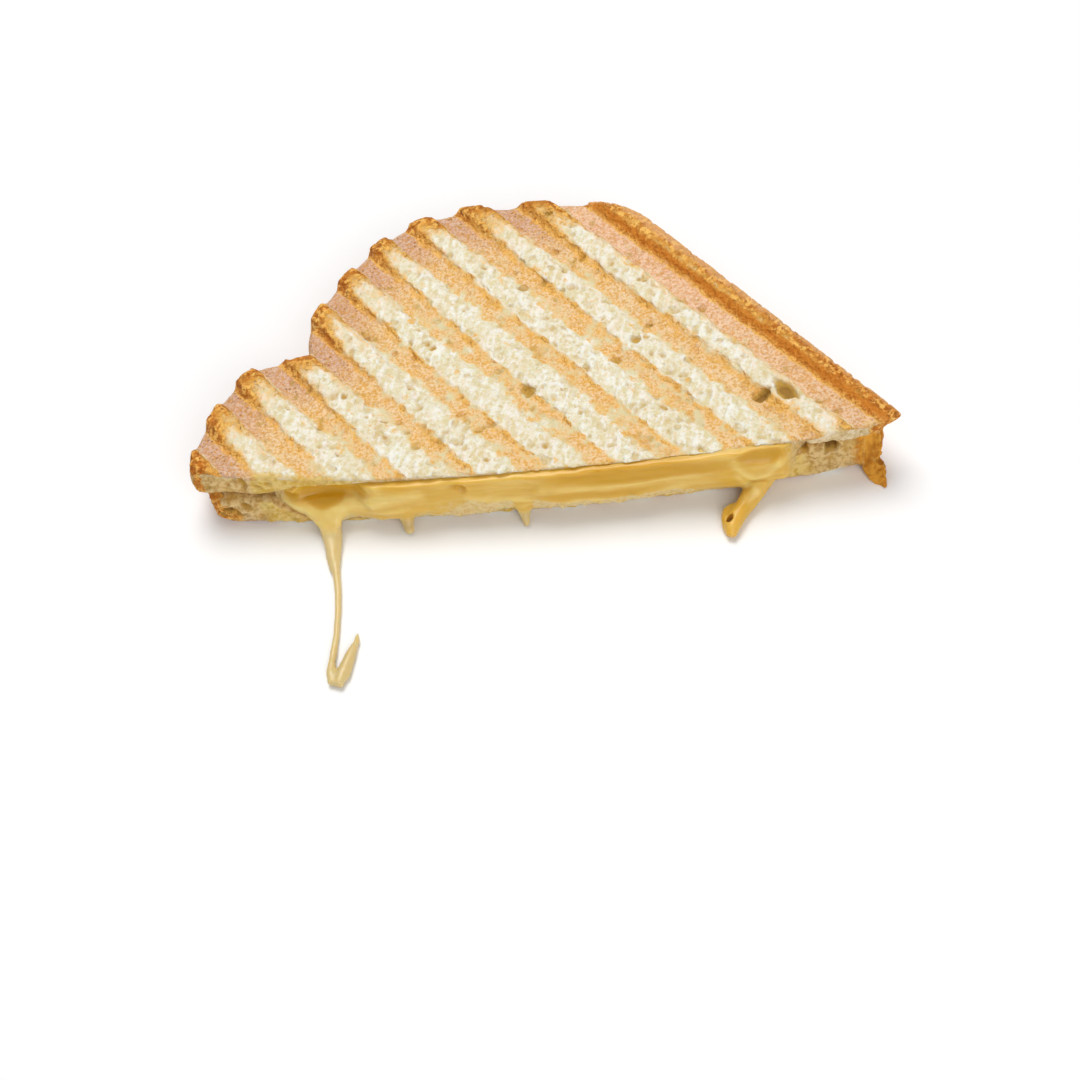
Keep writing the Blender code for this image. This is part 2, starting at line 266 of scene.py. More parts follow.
def dig(places, holes, wobble):
    """Depth of the larger holes, listed by their two places, half widths and depth in mm."""
    depth = np.zeros(len(places))
    for first, second, half_first, half_second, deep in holes:
        reach = np.hypot((places[:, 0] / MM - first) / half_first, (places[:, 1] / MM - second) / half_second)
        reach = reach * (1 + 0.22 * wobble)
        depth = np.maximum(depth, deep * (1 - np.clip(reach, 0, 1) ** 2) ** 0.7)
    return depth


# Long air holes in the upper face, by place across and along the marks
LONG_HOLES = [(12.1, 24.9, 2.1, 4.9, 2.0), (54.5, 71.0, 1.9, 2.4, 1.6), (66, 50.9, 1.2, 1.9, 0.8)]
# Round and flattened ones, in mm from the middle of the cut
AIR_HOLES = [(-43.8, 40.2, 1.0, 1.2, 1.3), (-47.3, 35.2, 1.0, 1.3, 0.9), (-48.0, 21.1, 1.2, 1.2, 1.3),
             (-42.3, 14.3, 0.9, 0.7, 0.9), (-40.1, -0.3, 0.7, 0.6, 0.8), (-34.5, 12.5, 1.2, 0.9, 1.0),
             (-32.4, 9.2, 1.1, 0.9, 1.0), (-36.7, 34.4, 1.0, 0.9, 1.0), (-31.7, 32.4, 1.0, 0.9, 0.9),
             (-27.8, 25.8, 1.2, 0.7, 0.8), (-27.1, 21.6, 1.1, 0.9, 0.6), (-19.5, 18.5, 1.2, 0.7, 0.8),
             (-19.1, 13.4, 1.2, 1.2, 0.9), (-11.9, 9.2, 2.1, 0.7, 1.0), (-24.2, 5.3, 1.5, 1.2, 1.0),
             (-32.6, 2.5, 2.2, 1.2, 0.6), (-28.4, 10.0, 0.9, 0.9, 0.9), (-9.9, 26.1, 1.7, 1.0, 1.0),
             (-6.9, 20.3, 1.0, 0.9, 0.9), (-2.7, 19.1, 2.4, 1.8, 1.5), (1.8, -3.3, 1.7, 1.5, 0.7),
             (0.1, 1.3, 1.0, 0.9, 0.7), (2.8, 76.6, 1.5, 1.2, 1.4), (4.6, 64.4, 0.9, 0.9, 1.0),
             (11.0, 61.3, 1.2, 1.0, 1.1), (-6.1, 58.8, 1.0, 0.7, 1.0), (1.3, 54.3, 1.5, 1.2, 1.3),
             (-4.2, 53.0, 1.6, 1.2, 1.2), (8.5, 51.2, 1.7, 1.5, 0.9), (27.9, 37.4, 1.2, 1.2, 1.2),
             (24.1, 32.0, 1.7, 1.6, 1.4), (30.2, 26.2, 1.1, 1.2, 1.1), (19.2, 26.8, 1.6, 1.5, 1.3),
             (34.3, 39.1, 1.7, 1.5, 0.9), (20.7, 62.8, 0.7, 0.7, 0.8), (7.6, 35.2, 1.6, 0.9, 0.6),
             (22.5, 54.4, 0.9, 0.9, 0.7), (53.3, 11.0, 2.2, 1.5, 2.0), (41.0, 40.7, 1.2, 0.7, 1.0),
             (49.9, 22.5, 1.3, 1.3, 0.8), (70.5, 4.5, 1.1, 1.2, 1.1), (43.0, 32.0, 0.7, 0.9, 0.8),
             (-61.9, 18.6, 1.0, 1.0, 1.0), (-54.1, 12.5, 1.0, 1.0, 1.2), (-57.9, 24.2, 1.1, 0.9, 1.1)]
# Hollows in the cut side of the upper slice, by place along the cut and height
UPPER_CUT_HOLES = [(-69.3, 13.6, 1.1, 0.8, 1.3), (-66.2, 14.9, 1.0, 0.8, 1.2), (62.4, 15.4, 1.2, 0.9, 2.2),
                   (69.2, 13.2, 2.0, 1.6, 2.6), (-81, 13, 0.9, 0.6, 0.9), (-76.5, 14.5, 0.8, 0.7, 0.8),
                   (75.5, 15.6, 0.8, 0.5, 0.8), (-72.7, 16, 1.0, 3.4, 1.6), (-76.5, 10.4, 5.5, 1.3, 0.7),
                   (66, 12.8, 2.4, 1.2, 1.6), (58, 15.4, 1.2, 0.9, 1.0)]

upper = merged_copy("bread_top", "upper_slice")
fine_skin(upper, UPPER_SKIN)


def hide_inside(piece, outer, low, high):
    """Thin out the faces between the slices, away from the edges."""
    known = Slice(piece, outer, low, high)
    edge = 3.4 * MM
    hidden = (known.normals[:, 2] * outer < 0.2) & (known.from_rim > edge) & (known.from_cut > edge)
    thin_out(piece, hidden, 0.04)


hide_inside(upper, *UPPER_SIDE)
soften(upper, 7)
soften(upper, 14, Slice(upper, *UPPER_SIDE).from_cut < CUT_EDGE)

seen = Slice(upper, *UPPER_SIDE)
across = seen.marks[:, 0]
along = seen.along_cut / MM
from_rim = seen.from_rim / MM
step = rib_step(across)
past_wall = step / MM
pressed = pressed_share(across)
wobble = lumps(seen.points, WOBBLE_SIZE, 3)
pebbles, pebble_size = bubbles(seen.points, PEBBLE_SIZE, 21)
pores = pores_of(seen.points, 31)
fluff = fluffy(seen.points, 41)
# Few pores are open right beside the walls of the marks
pores *= 1 - 0.75 * seen.face * ease(-np.abs(past_wall + 0.4), -2.2, -0.8)

# The strip of crust along the right-hand side, by how far up its slope each point is, in mm
up_strip = (FIRST_RIB - across) / MM
strip = ease(up_strip, -0.2, 0.6) * seen.face
# Its foot is darker: browning, with a painted shadow cast by the strip's wall onto the floor beside it
strip_foot = 1 - ease(up_strip, 0.8, 2.6)

# Where the grill and the oven have browned it
patchy = 0.28 + 0.22 * ease(lumps(seen.marks * (1.6, 1, 1), 6 * MM, 17, 2), -0.35, 0.25)
walls = np.where(step < -0.3 * MM, ease(past_wall, -2.1, -1.0), 1 - ease(past_wall, 0, 1.7))
walls *= np.maximum(np.exp(-(from_rim / 17) ** 1.3), patchy)
walls = np.where(across < FIRST_RIB - 2.2 * MM, 0, walls)
band_middle = 0.5 * (RAMP_END + RIB_PITCH - RIB_WALL)
band_edge = ease(np.abs(step - band_middle), 1.2 * MM, 2.6 * MM)
ends = (1 - ease(pressed, 0.5, 1)) * np.exp(-np.maximum(from_rim - 2.5, 0) / (5.5 + 5 * band_edge))
in_section = seen.cut_side * ease(-from_rim, -3.2, -1.2)
on_strip = strip * (0.64 + 0.28 * strip_foot)
strip_edge = 0.7 * ease(up_strip, 2.4, 3.4) * ease(seen.normals[:, 2], -0.3, 0.1)
toasted = [walls * seen.face, ends * seen.face, on_strip, strip_edge, seen.crust_side, in_section]
scorched = np.maximum.reduce(toasted)

# How deep each point is carved, in mm, with the pebbled toast standing out
level = ease(seen.normals[:, 2], 0.6, 0.9)
on_band = level * (1 - pressed) * (1 - strip)
on_floor = level * pressed
plan = np.column_stack((seen.along_cut, seen.points[:, 1] - CUT_MIDDLE.y))
holes = np.maximum(dig(seen.marks, LONG_HOLES, wobble), dig(plan, AIR_HOLES, wobble)) * seen.face
cut_holes = dig(seen.front, UPPER_CUT_HOLES, wobble) * seen.at_front
gentle = lumps(seen.points, 5 * MM, 47, 2)
pebbled = ease(pebbles, 0.05, 0.7) * (0.5 + 0.5 * pebble_size)
pebbled *= 1 - strip * (1 - ease(up_strip, 1.4, 2.6))
depth = on_band * (pores * (1 - 0.4 * scorched) + 0.5 * fluff) + 0.3 * gentle * seen.face
depth += on_floor * (0.15 * fluff + 0.5 * ease(pores, 0.55, 0.9))
depth += scorched * (0.3 - 1.0 * pebbled + 0.15 * wobble) * (seen.face + 0.6 * seen.crust_side)
depth += seen.cut_side * (0.6 * pores + 0.5 * fluff + 0.9 * gentle - 0.3)
depth = np.maximum(depth, holes)
shaped = seen.points - seen.normals * depth[:, None] * MM
# The edges of the marks wander to and fro
drift = 0.8 * lumps(seen.marks, 4.2 * MM, 11, 2) + 0.3 * wobble
drift *= seen.face * (0.35 + 0.65 * ease(from_rim, 3, 20)) * ease(from_rim, 0.3, 2)
shaped[:, :2] -= ACROSS * drift[:, None] * MM
middle = seen.cut_side * ease(along, -50, -44) * ease(-along, -56, -50)
shaped[:, 1] += (cut_holes + 0.3 * middle) * MM
move_to(upper, shaped)
soften(upper, 3, (walls > 0.05) & (np.abs(past_wall + 0.4) < 1.1) & (holes < 0.1))

# The crumb of the cut is soaked with melted cheese near its left-hand end, and a little in the middle
left_end = ease(-along, 42, 54)
soaked = seen.cut_side * ease(along, -73, -68) * ease(-along, -62, -52)
soaked_top = 0.62 * seen.face * ease(-seen.from_cut / MM, -2.6, 0) * ease(along, -72, -68)
soaked = np.maximum(soaked, soaked_top) * (0.45 + 0.55 * left_end)
note(upper, "soaked", np.maximum(soaked, 0.22 * middle))

# The floors fade out up their far slope, sooner far from the rim
inner = ease(from_rim, 10, 34)
faded = 1 - ease(past_wall, 4.8 - 2.6 * inner, 6.6)
tinted = np.where(across < FIRST_RIB, pressed, np.where(step < 0, pressed, faded))
note(upper, "pressed", seen.face * tinted * (1 - 0.35 * ease(from_rim, 5, 45)))
note(upper, "scorched", scorched)
note(upper, "pebbled", pebbled)
note(upper, "crust", seen.crust_side)
# How far into a pore or hole each point lies, for painted shade there
pits = np.maximum(np.clip(holes / 2, 0, 0.92), 0.65 * pores * (1 - 0.5 * scorched))
note(upper, "pitted", np.maximum(pits, cut_holes / 1.7))
# The cut side below its top edge takes the darker, tanner torn colour, partly painted shade, with less of it
# in the middle and at the right-hand end
rim_height = 16.6 + 2.4 * ease(np.abs(along), 0, 80)
below_edge = ease(-seen.points[:, 2] / MM + 0.6 * wobble, -rim_height, 1.8 - rim_height)
right_end = ease(along, 56, 68)
note(upper, "torn", seen.torn * below_edge * (1 - 0.8 * middle - 0.35 * right_end))

# The strip is paler at its crown end and has painted light along its outer edge, and the floor beside it is
# paler and pinker
crown_end = ease(seen.points[:, 1], CUT_MIDDLE.y + 25 * MM, CUT_MIDDLE.y + 45 * MM)
worn = crown_end * (1 - ease(from_rim, 0.8, 2.8))
worn = np.maximum(worn, 0.75 * ease(up_strip + 0.7 * wobble, 3.0, 5.2))
note(upper, "worn", strip * worn)
# A painted shadow at the foot of the strip, cast by its wall onto the floor beside it
note(upper, "foot", seen.face * np.exp(-((up_strip - 0.7) / 0.9) ** 2))
by_strip = ease(-across / MM, -12, -9)
note(upper, "rimmed", (1 - ease(from_rim, 3, 30)) * (1 - (0.4 + 0.4 * crown_end) * by_strip))
note(upper, "blushed", by_strip * (0.45 + 0.45 * crown_end))


def srgb(red, green, blue):
    """A colour given as it looks on a screen, 0 to 255, as the shader wants it."""
    shares = [c / 255 for c in (red, green, blue)]
    return tuple(s / 12.92 if s <= 0.04045 else ((s + 0.055) / 1.055) ** 2.4 for s in shares) + (1,)


def put(tree, kind, settings=None, **sockets):
    """Add a shader node. A socket given another node's output is joined to it."""
    made = tree.nodes.new(kind)
    for key, value in (settings or {}).items():
        setattr(made, key, value)
    for key, value in sockets.items():
        socket = made.inputs[key.replace("_", " ")]
        if isinstance(value, bpy.types.NodeSocket):
            tree.links.new(value, socket)
        else:
            socket.default_value = value
    return made


def share_of(tree, name):
    return put(tree, "ShaderNodeAttribute", {"attribute_name": name}).outputs["Fac"]


def maths(tree, operation, first, second):
    """Sums done by the shader, on numbers or on other nodes' outputs."""
    made = tree.nodes.new("ShaderNodeMath")
    made.operation = operation
    for socket, value in zip(made.inputs, (first, second)):
        if isinstance(value, bpy.types.NodeSocket):
            tree.links.new(value, socket)
        else:
            socket.default_value = value
    return made.outputs[0]


def plus(tree, first, second):
    return maths(tree, "ADD", first, second)


def minus(tree, first, second):
    return maths(tree, "SUBTRACT", first, second)


def times(tree, first, second):
    return maths(tree, "MULTIPLY", first, second)


def larger(tree, first, second):
    return maths(tree, "MAXIMUM", first, second)


def ramp(tree, value, low, high, start=0.0, end=1.0):
    """A smooth step of a value from one number to another."""
    made = put(tree, "ShaderNodeMapRange", {"interpolation_type": "SMOOTHSTEP"}, Value=value)
    for name, number in (("From Min", low), ("From Max", high), ("To Min", start), ("To Max", end)):
        made.inputs[name].default_value = number
    return made.outputs["Result"]


def blend(tree, factor, first, second):
    """One colour laid over another."""
    made = tree.nodes.new("ShaderNodeMix")
    made.data_type = "RGBA"
    for index, value in ((0, factor), (6, first), (7, second)):
        if isinstance(value, bpy.types.NodeSocket):
            tree.links.new(value, made.inputs[index])
        else:
            made.inputs[index].default_value = value
    return made.outputs[2]


def speckle(tree, where, scale, detail=3.0, rough=0.6):
    """Soft noise between 0 and 1."""
    made = put(tree, "ShaderNodeTexNoise", Vector=where, Scale=scale, Detail=detail, Roughness=rough)
    return made.outputs["Fac"]


def new_material(name):
    made = bpy.data.materials.new(name)
    made.use_nodes = True
    tree = made.node_tree
    tree.nodes.clear()
    shader = tree.nodes.new("ShaderNodeBsdfPrincipled")
    out = tree.nodes.new("ShaderNodeOutputMaterial")
    tree.links.new(shader.outputs["BSDF"], out.inputs["Surface"])
    return made, tree, shader


def grill_coordinates(tree, stretch):
    """Object coordinates turned to the grill marks, longer along them."""
    place = put(tree, "ShaderNodeTexCoord").outputs["Object"]
    turned = put(tree, "ShaderNodeMapping", {"vector_type": "TEXTURE"}, Vector=place)
    turned.inputs["Rotation"].default_value = (0, 0, GRILL_ANGLE)
    turned.inputs["Scale"].default_value = (stretch, 1, 1)
    return turned.outputs["Vector"]


CRUMB = srgb(241, 239, 229)
CRUMB_SHADE = srgb(222, 209, 166)
CRUMB_PIT_SHADE = srgb(212, 188, 130)
FLOOR = srgb(232, 192, 132)
FLOOR_PALE = srgb(244, 216, 184)
FLOOR_PINK = srgb(204, 158, 134)
FLOOR_BLUSH = srgb(232, 184, 154)
FLOOR_PIT = srgb(214, 154, 76)
FLOOR_GOLD = srgb(230, 178, 88)
FLOOR_DOT = srgb(150, 96, 56)
FRINGE = srgb(230, 188, 110)
GOLD = srgb(234, 176, 80)
GOLD_HIGHLIGHT = srgb(249, 196, 104)
CRUST_TAN = srgb(236, 184, 128)
BROWN = srgb(204, 120, 34)
FOOT_SHADOW_BROWN = srgb(212, 130, 38)
DARK_BROWN = srgb(156, 86, 22)
OCHRE_PIT_SHADE = srgb(194, 154, 72)
CAVITY_SHADE = srgb(146, 108, 50)
TORN_CRUMB = srgb(224, 194, 136)
TORN_SHADE = srgb(186, 146, 82)
SOAKED_CRUMB = srgb(228, 200, 122)
SOAKED_SHADE = srgb(206, 170, 74)
AMBER = srgb(224, 160, 58)
DARK_AMBER = srgb(190, 122, 34)


def warped(tree, where, scale, amount):
    """Coordinates pushed about a little, so that round things come out uneven."""
    push = put(tree, "ShaderNodeTexNoise", Vector=where, Scale=scale, Detail=1).outputs["Color"]
    made = tree.nodes.new("ShaderNodeVectorMath")
    made.operation = "MULTIPLY_ADD"
    tree.links.new(push, made.inputs[0])
    made.inputs[1].default_value = (amount, amount, amount)
    tree.links.new(where, made.inputs[2])
    return made.outputs["Vector"]


def toast_material():
    """Crumb, grilled floors, browned edges, crust and torn cut, laid over one another."""
    made, tree, shader = new_material("toast")
    along = grill_coordinates(tree, 1.5)
    plain = put(tree, "ShaderNodeTexCoord").outputs["Object"]
    leaning = put(tree, "ShaderNodeMapping", {"vector_type": "TEXTURE"}, Vector=plain)
    leaning.inputs["Rotation"].default_value = (0, 0, STRAND_LEAN)
    leaning.inputs["Scale"].default_value = (3.2, 1, 1)
    strands = leaning.outputs["Vector"]
    fine = speckle(tree, plain, 780, 1)
    grain = speckle(tree, plain, 1900, 0)
    granules = speckle(tree, plain, 1500, 1)
    fibre = speckle(tree, strands, 700, 1)
    tufts = speckle(tree, strands, 520, 2)
    patch = speckle(tree, along, 300, 4)
    cloud = speckle(tree, plain, 150, 2)
    blotch = speckle(tree, plain, 110, 2)
    cells = put(tree, "ShaderNodeTexVoronoi", Vector=warped(tree, plain, 450, 2 * MM), Scale=370)
    own = put(tree, "ShaderNodeSeparateColor", Color=cells.outputs["Color"]).outputs[0]
    dots = put(tree, "ShaderNodeTexVoronoi", Vector=plain, Scale=850)
    rimmed = share_of(tree, "rimmed")
    pitted = share_of(tree, "pitted")
    pressed = share_of(tree, "pressed")
    scorched = share_of(tree, "scorched")
    torn = share_of(tree, "torn")
    pebbled = share_of(tree, "pebbled")

    stringy = times(tree, fibre, ramp(tree, pressed, 0, 1, 0.5, 0.15))
    relief = plus(tree, times(tree, fine, 0.55), times(tree, grain, 0.2))
    rough = plus(tree, relief, stringy)
    # Share of painted shade, where the fine relief that the bump follows is low
    low = ramp(tree, rough, 0.74, 0.46)
    near_middle = ramp(tree, cells.outputs["Distance"], 0.52, 0.12)
    pores = times(tree, near_middle, ramp(tree, own, 0.5, 0.95))

    # The open crumb of the bands, with painted shade where its fine relief is low, in soft patches along its
    # strands and in its pores
    crumb = blend(tree, low, CRUMB, CRUMB_SHADE)
    crumb = blend(tree, ramp(tree, tufts, 0.56, 0.38, 0, 0.45), crumb, CRUMB_SHADE)
    crumb = blend(tree, times(tree, pores, 0.8), crumb, CRUMB_PIT_SHADE)

    # The grilled floors, pinker near the rim, darker in their low grains and pores, partly as painted shade
    inner = ramp(tree, rimmed, 1, 0.2)
    floor = blend(tree, ramp(tree, rimmed, 0.3, 1), FLOOR, FLOOR_PINK)
    golden = times(tree, ramp(tree, patch, 0.46, 0.6, 0, 0.8), inner)
    floor = blend(tree, golden, floor, FLOOR_GOLD)
    floor = blend(tree, share_of(tree, "blushed"), floor, FLOOR_BLUSH)
    flecks = times(tree, ramp(tree, granules, 0.42, 0.64), ramp(tree, inner, 0, 1, 0.45, 0.65))
    floor = blend(tree, flecks, floor, FLOOR_PALE)
    specks = times(tree, ramp(tree, granules, 0.5, 0.34), ramp(tree, inner, 0, 1, 0.85, 0.6))
    floor = blend(tree, specks, floor, FLOOR_PIT)
    floor = blend(tree, times(tree, pores, 0.6), floor, FLOOR_PIT)
    dotted = times(tree, ramp(tree, dots.outputs["Distance"], 0.36, 0.16), ramp(tree, patch, 0.4, 0.56))
    dotted = times(tree, dotted, ramp(tree, rimmed, 0.1, 1, 0.05, 0.8))
    floor = blend(tree, dotted, floor, FLOOR_DOT)

    # The ragged, golden edge between them
    speckled = minus(tree, plus(tree, patch, relief), 0.875)
    clouded = minus(tree, plus(tree, cloud, patch), 1.0)
    ragged = plus(tree, times(tree, speckled, 1.2), clouded)
    ragged = times(tree, ragged, ramp(tree, rimmed, 0, 0.9, 1.0, 0.5))
    edge = plus(tree, pressed, ragged)
    fringed = times(tree, ramp(tree, edge, 0.24, 0.55), ramp(tree, patch, 0.35, 0.6, 0.3, 0.9))
    colour = blend(tree, fringed, crumb, FRINGE)
    colour = blend(tree, ramp(tree, edge, 0.34, 0.8), colour, floor)

    # Browned toast, with painted highlights on its pebbles and granules, and burnt pits that are partly
    # painted shade in its hollows, pores and the gaps between pebbles
    uneven = plus(tree, scorched, times(tree, speckled, 0.9))
    toasted = ramp(tree, uneven, 0.12, 0.75)
    colour = blend(tree, toasted, colour, GOLD)
    colour = blend(tree, ramp(tree, uneven, 0.5, 1.0), colour, BROWN)
    # Painted highlights on the raised pebbles and granules of the toast
    high = plus(tree, times(tree, pebbled, 0.5), times(tree, relief, 1.4))
    high = plus(tree, high, times(tree, granules, 0.9))
    high = times(tree, ramp(tree, high, 0.95, 1.32, 0, 0.9), toasted)
    calm = ramp(tree, share_of(tree, "crust"), 0.2, 0.9, 1, 0.3)
    high = times(tree, high, ramp(tree, patch, 0.36, 0.58, 0.35, 1))
    high = times(tree, high, calm)
    colour = blend(tree, high, colour, GOLD_HIGHLIGHT)
    # Dark brown: burnt toast, and painted shade in the hollows, pores and gaps between pebbles
    deep = larger(tree, ramp(tree, relief, 0.39, 0.29), times(tree, pores, 0.9))
    deep = larger(tree, deep, ramp(tree, pebbled, 0.2, 0.0, 0, 0.35))
    deep = larger(tree, deep, ramp(tree, patch, 0.43, 0.34, 0, 0.6))
    burnt_and_shaded = times(tree, ramp(tree, uneven, 0.45, 0.95, 0, 0.9), deep)
    burnt_and_shaded = times(tree, burnt_and_shaded, calm)
    colour = blend(tree, burnt_and_shaded, colour, DARK_BROWN)
    # Painted shadow at the foot of the strip, over its browning
    colour = blend(tree, ramp(tree, share_of(tree, "foot"), 0.05, 1, 0, 0.7), colour, FOOT_SHADOW_BROWN)
    # Paler crust at the strip's crown end, and painted light along its outer edge
    colour = blend(tree, ramp(tree, share_of(tree, "worn"), 0, 1, 0, 0.75), colour, CRUST_TAN)

    # The torn crumb of the cut, darker partly as painted shade, what the cheese has soaked, painted shade in
    # the pores and holes, and the hanging crust
    # Torn crumb, darker than the face's crumb partly as painted shade, with painted shade in its pores
    torn_colour = blend(tree, low, TORN_CRUMB, TORN_SHADE)
    torn_colour = blend(tree, times(tree, pores, 0.7), torn_colour, OCHRE_PIT_SHADE)
    untoasted = times(tree, torn, minus(tree, 1.0, toasted))
    colour = blend(tree, untoasted, colour, torn_colour)
    soaked = plus(tree, share_of(tree, "soaked"), times(tree, clouded, 0.6))
    soaked = ramp(tree, soaked, 0.25, 0.7, 0, 0.9)
    oily = blend(tree, ramp(tree, plus(tree, fine, cloud), 0.85, 1.15), SOAKED_SHADE, SOAKED_CRUMB)
    colour = blend(tree, soaked, colour, oily)
    # Painted shade in the pores and holes, darkest in the deepest
    colour = blend(tree, ramp(tree, pitted, 0.1, 0.7), colour, OCHRE_PIT_SHADE)
    colour = blend(tree, ramp(tree, pitted, 0.7, 1.0), colour, CAVITY_SHADE)
    streaks = put(tree, "ShaderNodeMapping", Vector=plain)
    streaks.inputs["Scale"].default_value = (1, 1, 0.3)
    streaky = ramp(tree, speckle(tree, streaks.outputs["Vector"], 500, 3), 0.4, 0.6)
    sheet = blend(tree, streaky, DARK_AMBER, AMBER)
    colour = blend(tree, ramp(tree, share_of(tree, "sheet"), 0.1, 0.7), colour, sheet)
    colour = blend(tree, ramp(tree, blotch, 0.35, 0.7, 0.0, 0.1), colour, GOLD)
    tree.links.new(colour, shader.inputs["Base Color"])

    # The pressed floors are smoother, and the fine relief is crispest on toast
    tree.links.new(ramp(tree, pressed, 0, 1, 0.92, 0.7), shader.inputs["Roughness"])
    crisp = larger(tree, times(tree, pressed, 0.9), 0.55)
    crisp = larger(tree, crisp, toasted)
    rough = plus(tree, rough, times(tree, granules, ramp(tree, pressed, 0, 1, 0, 0.35)))
    crisp = times(tree, crisp, ramp(tree, soaked, 0, 0.9, 1, 0.7))
    crisp = times(tree, crisp, ramp(tree, share_of(tree, "sheet"), 0, 1, 1, 0.4))
    crisp = times(tree, crisp, ramp(tree, untoasted, 0, 1, 1, 0.7))
    height = minus(tree, times(tree, rough, crisp), times(tree, pores, 0.25))
    bump = put(tree, "ShaderNodeBump", Height=height, Strength=1.0, Distance=1.4 * MM)
    tree.links.new(bump.outputs["Normal"], shader.inputs["Normal"])
    shader.inputs["Subsurface Weight"].default_value = 0.35
    shader.inputs["Subsurface Radius"].default_value = (1.0, 0.7, 0.45)
    shader.inputs["Subsurface Scale"].default_value = 0.9 * MM
    shader.inputs["Specular IOR Level"].default_value = 0.25
    return made


toast = toast_material()
upper.data.materials.clear()
upper.data.materials.append(toast)
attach(upper, "root")
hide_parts("bread_top")

# The melted cheese fills the space between the slices. It has swollen out of the cut in soft folds
# and run out in a long string, a thick drip with a hole, and some small drips.
GOLDEN_CHEESE = srgb(226, 182, 76)
PALE_CHEESE = srgb(240, 212, 126)
DEEP_CHEESE = srgb(214, 162, 34)
CREAM_CHEESE = srgb(214, 192, 136)
LIP_CRUMB = srgb(229, 205, 152)
LIP_SHADE = srgb(215, 180, 108)
CHEESE_SKIN = 0.4 * MM
OFF_GROUND = 0.02 * MM

# Places are in mm from the middle of the cut. A drop is a place and its three half widths.
STRING_ROOT = [(-54.2, -4.2, 7.6, 5.8, 1.6, 2.0), (-53.6, -6.2, 4.6, 4.3, 1.5, 1.5),
               (-52.9, -9, 2.6, 3.0, 1.2, 1.2), (-52.4, -12, 1.6, 2.4, 1.2, 1.0),
               (-52.2, -16, 1.1, 2.0, 1.2, 0.9), (-51.6, -20, 1, 1.4, 1.2, 0.9)]
STRING_LOOP = [(-47.8, -49.5, 1.1, 2.0, 1.6, 1.0), (-46.6, -45.2, 1.0, 1.7, 1.6, 0.9),
               (-45.6, -41.6, 0.9, 1.1, 1.4, 0.8)]
LEFT_SMALL_DRIP = [(-34, -5.6, 5.2, 3.4, 1.0, 1.8), (-34.1, -6.8, 3.0, 1.9, 1.2, 1.5),
                   (-34, -8.2, 1.6, 1.5, 1.1, 1.1), (-33.6, -9.8, 1.1, 1.3, 1.1, 1.0)]
MIDDLE_SMALL_DRIP = [(-5.2, -7.4, 4.2, 2.2, 0.9, 1.6), (-5.1, -8.5, 2.0, 1.2, 1.0, 1.1),
                     (-4.9, -10, 1.0, 1.0, 1.0, 0.9)]
DRIP_HOOK = [(45, -10.2, 1.5, 1.5, 1.3, 1.3), (43.4, -11.4, 1.4, 1.3, 1.4, 1.3),
             (42.9, -13.8, 1.3, 1.2, 1.6, 1.2), (43.3, -16.4, 1.2, 1.2, 1.3, 1.1)]
# The hole's place and its two half widths
DRIP_HOLE = (43.9, -14.3, 0.75, 1.15)

# Hollows in the front of the cheese, by place along the cut and height, with half widths and depth
CHEESE_HOLLOWS = [(-53.0, 12.0, 7.4, 4.6, 1.9), (-48.8, 12.6, 8.4, 3.4, 1.2), (-62.5, 10.6, 4.6, 0.9, 0.7),
                  (-20.6, 12.9, 2.2, 0.6, 0.7), (-19.0, 12.2, 1.2, 0.9, 1.2), (53, 14.4, 6.8, 1.7, 1.2)]
# The deep golden places between the paler folds: painted shade in the pocket, the hollows and creases and
# under the upper slice's edge, on a deeper yellow
DEEP_PLACES = [(24, 13.2, 26, 2.6, 1.9), (-31, 13.2, 9, 1.8, 0.8), (14, 8.4, 22, 1.8, 1.3),
               (-53.3, 11.2, 6.6, 4.6, 2.8), (-49.2, 12.2, 8.0, 3.2, 1.8), (-62.5, 10.4, 4.8, 1.0, 1.6),
               (52.5, 14.2, 7.0, 1.9, 2.0), (-19.4, 12.4, 1.6, 0.8, 2.0)]
# Its raised folds: a line of places along the cut and heights, then the fold's width and height
CHEESE_FOLDS = [([(-64, 8.4), (-58, 6.2), (-50, 6.4), (-43, 8.8), (-37, 10.6), (-30, 11.6)], 1.5, 0.45),
                ([(-43, 16), (-40, 13), (-36.8, 10.4)], 0.9, 0.2),
                ([(-18, 10), (-10.5, 7.9), (-0.8, 7.6), (13, 6.8), (23, 8.2), (33, 7.2)], 1.3, 0.3),
                ([(0, 11.2), (14, 10.8), (24, 11.4), (33, 11.2), (43, 12.6)], 1.0, 0.2),
                ([(45.4, 13.4), (47.8, 10.2), (50.5, 8.4), (53.2, 9.2), (56, 12)], 1.0, 0.4),
                ([(46.5, 9.6), (48.2, 6.4), (51, 5)], 0.9, 0.25),
                ([(-47, 6), (-40, 6.6), (-33, 8)], 0.9, 0.25)]
# Where the pale crumb of the lower slice shows under the cheese: places along the cut and heights
LIP_PLACES = (-26, -17.9, -10.5, -0.8, 13.4, 23.3, 32.7, 42)
LIP_HEIGHTS = (4, 9.6, 7.6, 7.6, 5.8, 8.2, 6.4, 3)


def at_cut(x, y, z):
    """A place given in mm from the middle of the cut."""
    return Vector((CUT_MIDDLE.x + x * MM, CUT_MIDDLE.y + y * MM, z * MM))


def add_drops(bm, stations):
    """A run of flattened drops, near enough to melt into one another."""
    for first, last in zip(stations, stations[1:]):
        for part in range(8):
            x, y, z, *widths = (a + (b - a) * part / 8 for a, b in zip(first, last))
            place = Matrix.Translation(at_cut(x, y, z)) @ Matrix.Diagonal([w * MM for w in widths] + [1])
            bmesh.ops.create_icosphere(bm, subdivisions=2, radius=1, matrix=place)


